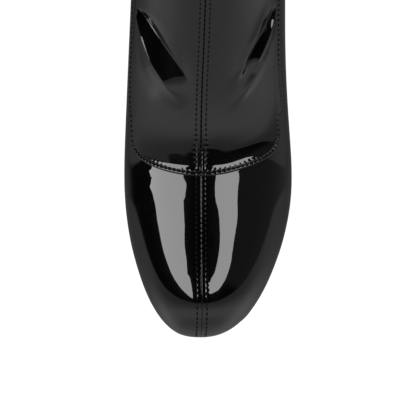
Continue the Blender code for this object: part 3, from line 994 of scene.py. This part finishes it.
def make_camera():
    data = bpy.data.cameras.new("camera")
    data.sensor_width = SENSOR_MM
    data.lens = SENSOR_MM * DISTANCE / VIEW_WIDTH
    camera = bpy.data.objects.new("camera", data)
    camera.location = AIM + TOWARDS * DISTANCE
    camera.rotation_euler = (np.pi / 2 - ELEVATION, 0.0, 0.0)
    bpy.context.collection.objects.link(camera)
    bpy.context.scene.camera = camera


# Studio: two softboxes, a pale surround and a floor. The left softbox is upright, with corners given back
# from the toe and up. The right one is level, with corners given across and back from the toe.
LEFT_ACROSS = -0.35
LEFT_SOFTBOX = [(0.130, 0.112), (-0.385, 0.825), (-0.33, 0.90), (-0.16, 0.90), (-0.075, 0.87),
                (-0.045, 0.775), (-0.03, 0.72), (-0.012, 0.725), (0.012, 0.74), (0.032, 0.69), (0.034, 0.65)]
RIGHT_HEIGHT = 1.0
RIGHT_SOFTBOX = [(0.21, -0.17), (0.30, -0.35), (0.633, -0.262), (0.863, -0.10), (0.977, 0.013), (0.93, 0.045),
                 (0.45, 0.02), (0.44, 0.01), (0.36, -0.05), (0.29, -0.085)]
SOFTBOX_STRENGTH = 6.6
BLACK = (0.0, 0.0, 0.0)
WHITE = (1.0, 1.0, 1.0, 1.0)


def make_softbox(name, corners):
    mesh = bpy.data.meshes.new(name)
    mesh.from_pydata((np.array(corners) - MIDDLE).tolist(), [], [list(range(len(corners)))])
    mesh.materials.append(new_material(name, BLACK, roughness=1.0, Specular_IOR_Level=0.0,
                                       Emission_Color=WHITE, Emission_Strength=SOFTBOX_STRENGTH))
    softbox = bpy.data.objects.new(name, mesh)
    bpy.context.collection.objects.link(softbox)
    softbox.visible_camera = False
    softbox.visible_shadow = False


FLOOR_SIZE = 6.0
FLOOR_COLOUR = (0.3, 0.3, 0.3)
FLOOR_GLOW = 0.95


def make_floor():
    mesh = bpy.data.meshes.new("floor")
    corners = [(-FLOOR_SIZE, -FLOOR_SIZE, 0), (FLOOR_SIZE, -FLOOR_SIZE, 0), (FLOOR_SIZE, FLOOR_SIZE, 0),
               (-FLOOR_SIZE, FLOOR_SIZE, 0)]
    mesh.from_pydata(corners, [], [(0, 1, 2, 3)])
    mesh.materials.append(new_material("floor", FLOOR_COLOUR, roughness=0.9, Emission_Color=WHITE,
                                       Emission_Strength=FLOOR_GLOW))
    floor = bpy.data.objects.new("floor", mesh)
    bpy.context.collection.objects.link(floor)
    floor.visible_glossy = False


SURROUND_BEND = 0.065      # how far the pale surround's edge rises towards the sides
SURROUND_EDGE = 0.012
# Changes of the surround's light, each from a start to an end of a direction, with the values there
SURROUND_BEHIND = (-0.9, -0.6, 1.0, 0.0)     # behind the boot it reaches above its edge
SURROUND_RISE = (0.0, 0.4, 0.34, 0.88)       # it brightens below its edge
SURROUND_FALL = (0.5, 0.85, 0.0, 0.25)       # and loses some of that lower down
SURROUND_SHADE = (-0.95, -0.25, 0.22, 1.0)   # it is darker behind the boot
SIDE_GLOW = (0.3, 0.9, 0.0, 0.12)            # faint light above the edge, from the outer side
SIDE_GLOW_START = (-0.2, -0.05, 0.0, 1.0)    # towards the heel


def world_node(kind, links, *sockets, **settings):
    """A node of the world's tree with sockets in order, each a number, a vector or another node's output."""
    node = bpy.context.scene.world.node_tree.nodes.new(kind)
    for key, value in settings.items():
        setattr(node, key, value)
    for socket, value in zip(node.inputs, sockets):
        if isinstance(value, bpy.types.NodeSocket):
            links.new(value, socket)
        elif value is not None:
            socket.default_value = value
    return node.outputs


def make_world():
    """A pale surround below the camera's plane and dark above it; the camera itself sees plain white."""
    world = bpy.data.worlds.new("studio")
    world.use_nodes = True
    bpy.context.scene.world = world
    tree = world.node_tree
    tree.nodes.clear()
    links = tree.links
    way = world_node("ShaderNodeTexCoord", links)["Generated"]

    def along(direction):
        outputs = world_node("ShaderNodeVectorMath", links, way, tuple(direction), operation="DOT_PRODUCT")
        return outputs["Value"]

    def maths(operation, *values):
        return world_node("ShaderNodeMath", links, *values, operation=operation)["Value"]

    def ranged(value, start, end, low, high):
        return world_node("ShaderNodeMapRange", links, value, start, end, low, high,
                          interpolation_type="SMOOTHSTEP")["Result"]

    down = along(-UPWARD)
    across = along(ACROSS)
    raised_down = maths("ADD", down, maths("MULTIPLY", SURROUND_BEND, maths("MULTIPLY", across, across)))
    facing = along(TOWARDS)
    below = ranged(raised_down, -SURROUND_EDGE, SURROUND_EDGE, 0.0, 1.0)
    pale = maths("MAXIMUM", below, ranged(facing, *SURROUND_BEHIND))
    rise = ranged(down, *SURROUND_RISE)
    fall = ranged(down, *SURROUND_FALL)
    shade = ranged(facing, *SURROUND_SHADE)
    surround = maths("MULTIPLY", maths("MULTIPLY", pale, maths("SUBTRACT", rise, fall)), shade)
    dim = maths("MULTIPLY", ranged(across, *SIDE_GLOW), maths("SUBTRACT", 1.0, pale))
    dim = maths("MULTIPLY", dim, ranged(along(HEELWARD), *SIDE_GLOW_START))
    glow = maths("ADD", surround, dim)
    seen = world_node("ShaderNodeLightPath", links)["Is Camera Ray"]
    strength = maths("ADD", maths("MULTIPLY", glow, maths("SUBTRACT", 1.0, seen)), seen)
    background = world_node("ShaderNodeBackground", links, WHITE, strength)["Background"]
    world_node("ShaderNodeOutputWorld", links, background)


def make_boot():
    leather = patent_leather("patent_leather", LEATHER_ROUGHNESS)
    lining = lining_leather("lining_leather")
    for side in SIDES:
        make_body(side, leather)
        make_panel(side, leather)
        make_lining(side, lining)
    make_collar(leather)
    stitching = thread("black_thread")
    vamp_rows = centre_rows(VAMP_ROWS_START, EDGE_START, on_panel=False)
    add_stitches("vamp_stitches", vamp_rows, THREAD_RADIUS, stitching)
    shaft_rows = centre_rows(EDGE_START + PANEL_ROWS_START, COLLAR - PANEL_ROWS_END, on_panel=True)
    add_stitches("shaft_stitches", shaft_rows, THREAD_RADIUS, stitching)
    add_stitches("panel_edge_stitches", border_rows(), EDGE_THREAD_RADIUS, stitching)
    cover = patent_leather("covered_sole", COVER_ROUGHNESS)
    make_platform(cover)
    make_heel(cover)
    make_outsole(rubber("sole_rubber"))
    make_top_piece(rubber("tip_rubber"))
    make_insole(lining_leather("sock_leather"))


make_boot()
make_camera()
make_softbox("left_softbox", [(LEFT_ACROSS, back, up) for back, up in LEFT_SOFTBOX])
make_softbox("right_softbox", [(across, back, RIGHT_HEIGHT) for across, back in RIGHT_SOFTBOX])
make_floor()
make_world()
bpy.context.scene.view_settings.view_transform = "Standard"
